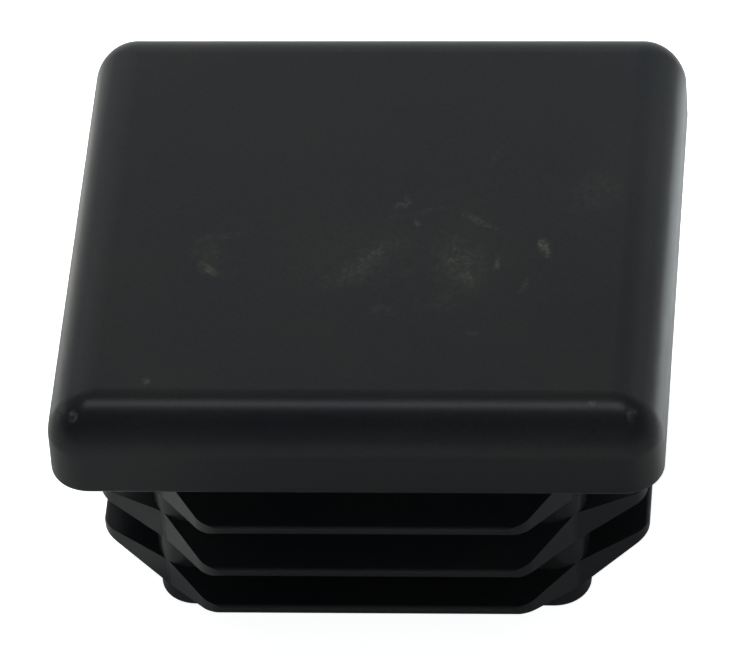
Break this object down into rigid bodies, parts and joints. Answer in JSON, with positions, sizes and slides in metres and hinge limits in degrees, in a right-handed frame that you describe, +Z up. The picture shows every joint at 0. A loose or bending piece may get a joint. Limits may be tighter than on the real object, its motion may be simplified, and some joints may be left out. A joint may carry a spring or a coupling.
{
  "type": "tube end cap",
  "caption": "Square ribbed plug that closes the open end of a square tube: a flat head with a rolled edge over a hollow core with gripping fins.",
  "frame": {"origin": "centre of the open end of the core, which the plug stands on", "axes": "+Z up through the head, X and Y along the sides of the square head"},
  "size_m": [0.03, 0.03, 0.0164],
  "materials": {
    "black_plastic": "near-black moulded polyethylene with a soft satin sheen and faint scuffs"
  },
  "bodies": {
    "root": {"end_cap": "black_plastic"}
  },
  "joints": []
}
